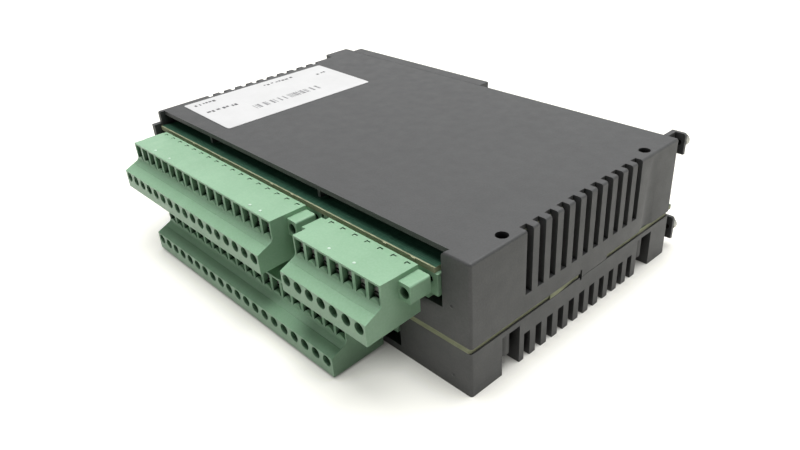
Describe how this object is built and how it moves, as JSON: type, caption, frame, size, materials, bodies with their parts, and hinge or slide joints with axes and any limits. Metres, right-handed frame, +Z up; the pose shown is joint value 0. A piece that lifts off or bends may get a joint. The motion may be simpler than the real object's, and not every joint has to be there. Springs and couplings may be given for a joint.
{
  "type": "plc module",
  "caption": "Flat input/output module for a control rack: two-shell vented housing around two boards, with pluggable screw-terminal plugs on one side and corner hooks on the other.",
  "frame": {"origin": "centre of the housing's bottom face", "axes": "+Z up, +X along the terminal side towards the end with the corner hooks, -Y is the terminal side"},
  "size_m": [0.1626, 0.1233, 0.0413],
  "materials": {
    "housing": "fine spark-eroded texture, matte dark grey",
    "plug": "satin light green polyamide",
    "header": "satin light green polyamide",
    "tinned_pins": "tinned",
    "steel_screws": "zinc plated, slotted",
    "studs": "zinc plated",
    "clamp_metal": "nickel plated copper alloy",
    "brass": "turned",
    "circuit_board": "green solder mask on glass-epoxy",
    "label": "white printed film",
    "connector_plastic": "black glass-filled plastic",
    "capacitor_sleeve": "dark sleeve",
    "can_metal": "plain can",
    "ferrite": "copper wound core",
    "chip_resin": "moulded resin"
  },
  "bodies": {
    "root": {"upper_shell": "housing", "lower_shell": "housing", "case_screws": "steel_screws", "hook_studs": "studs", "rating_label": "label", "main_board": "circuit_board", "upper_board": "circuit_board", "board_spacers": "brass", "spacer_screws": "steel_screws", "flange_nuts": "brass", "board_link_header": "connector_plastic", "board_link_socket": "connector_plastic", "board_link_pins": "tinned_pins", "backplane_connector": "connector_plastic", "backplane_pins": "tinned_pins", "dc_converter": "chip_resin", "electrolytic_capacitors": "capacitor_sleeve", "processor_chip": "chip_resin", "logic_chips": "chip_resin", "optocouplers": "chip_resin", "resistor_arrays": "chip_resin", "crystal": "can_metal", "storage_choke": "ferrite", "header_upper_left": "header", "header_pins_upper_left": "tinned_pins", "header_upper_right": "header", "header_pins_upper_right": "tinned_pins", "header_lower": "header", "header_pins_lower": "tinned_pins"},
    "plug_upper_left": {"plug_upper_left": "plug", "clamp_screws_upper_left": "steel_screws", "clamp_blocks_upper_left": "clamp_metal", "contacts_upper_left": "clamp_metal"},
    "plug_upper_right": {"plug_upper_right": "plug", "clamp_screws_upper_right": "steel_screws", "clamp_blocks_upper_right": "clamp_metal", "contacts_upper_right": "clamp_metal"},
    "plug_lower": {"plug_lower": "plug", "clamp_screws_lower": "steel_screws", "clamp_blocks_lower": "clamp_metal", "contacts_lower": "clamp_metal"},
    "flange_screw_upper_left_left": {"flange_screw_upper_left_left": "steel_screws"},
    "flange_screw_upper_left_right": {"flange_screw_upper_left_right": "steel_screws"},
    "flange_screw_upper_right_left": {"flange_screw_upper_right_left": "steel_screws"},
    "flange_screw_upper_right_right": {"flange_screw_upper_right_right": "steel_screws"},
    "flange_screw_lower_left": {"flange_screw_lower_left": "steel_screws"},
    "flange_screw_lower_right": {"flange_screw_lower_right": "steel_screws"}
  },
  "joints": [
    {"name": "upper_left_plug_slide", "type": "slide", "parent": "root", "child": "plug_upper_left", "axis": [0, -1, 0], "range_m": [0, 0.012]},
    {"name": "upper_right_plug_slide", "type": "slide", "parent": "root", "child": "plug_upper_right", "axis": [0, -1, 0], "range_m": [0, 0.012]},
    {"name": "lower_plug_slide", "type": "slide", "parent": "root", "child": "plug_lower", "axis": [0, -1, 0], "range_m": [0, 0.012]},
    {"name": "flange_screw_upper_left_left_turn", "type": "hinge", "parent": "plug_upper_left", "child": "flange_screw_upper_left_left", "pos_m": [-0.07084, -0.0534, 0.0322], "axis": [0, 1, 0], "continuous": true},
    {"name": "flange_screw_upper_left_right_turn", "type": "hinge", "parent": "plug_upper_left", "child": "flange_screw_upper_left_right", "pos_m": [0.01962, -0.0534, 0.0322], "axis": [0, 1, 0], "continuous": true},
    {"name": "flange_screw_upper_right_left_turn", "type": "hinge", "parent": "plug_upper_right", "child": "flange_screw_upper_right_left", "pos_m": [0.02661, -0.0534, 0.0322], "axis": [0, 1, 0], "continuous": true},
    {"name": "flange_screw_upper_right_right_turn", "type": "hinge", "parent": "plug_upper_right", "child": "flange_screw_upper_right_right", "pos_m": [0.06627, -0.0534, 0.0322], "axis": [0, 1, 0], "continuous": true},
    {"name": "flange_screw_lower_left_turn", "type": "hinge", "parent": "plug_lower", "child": "flange_screw_lower_left", "pos_m": [-0.05624, -0.05305, 0.01188], "axis": [0, 1, 0], "continuous": true},
    {"name": "flange_screw_lower_right_turn", "type": "hinge", "parent": "plug_lower", "child": "flange_screw_lower_right", "pos_m": [0.04946, -0.05305, 0.01188], "axis": [0, 1, 0], "continuous": true}
  ]
}
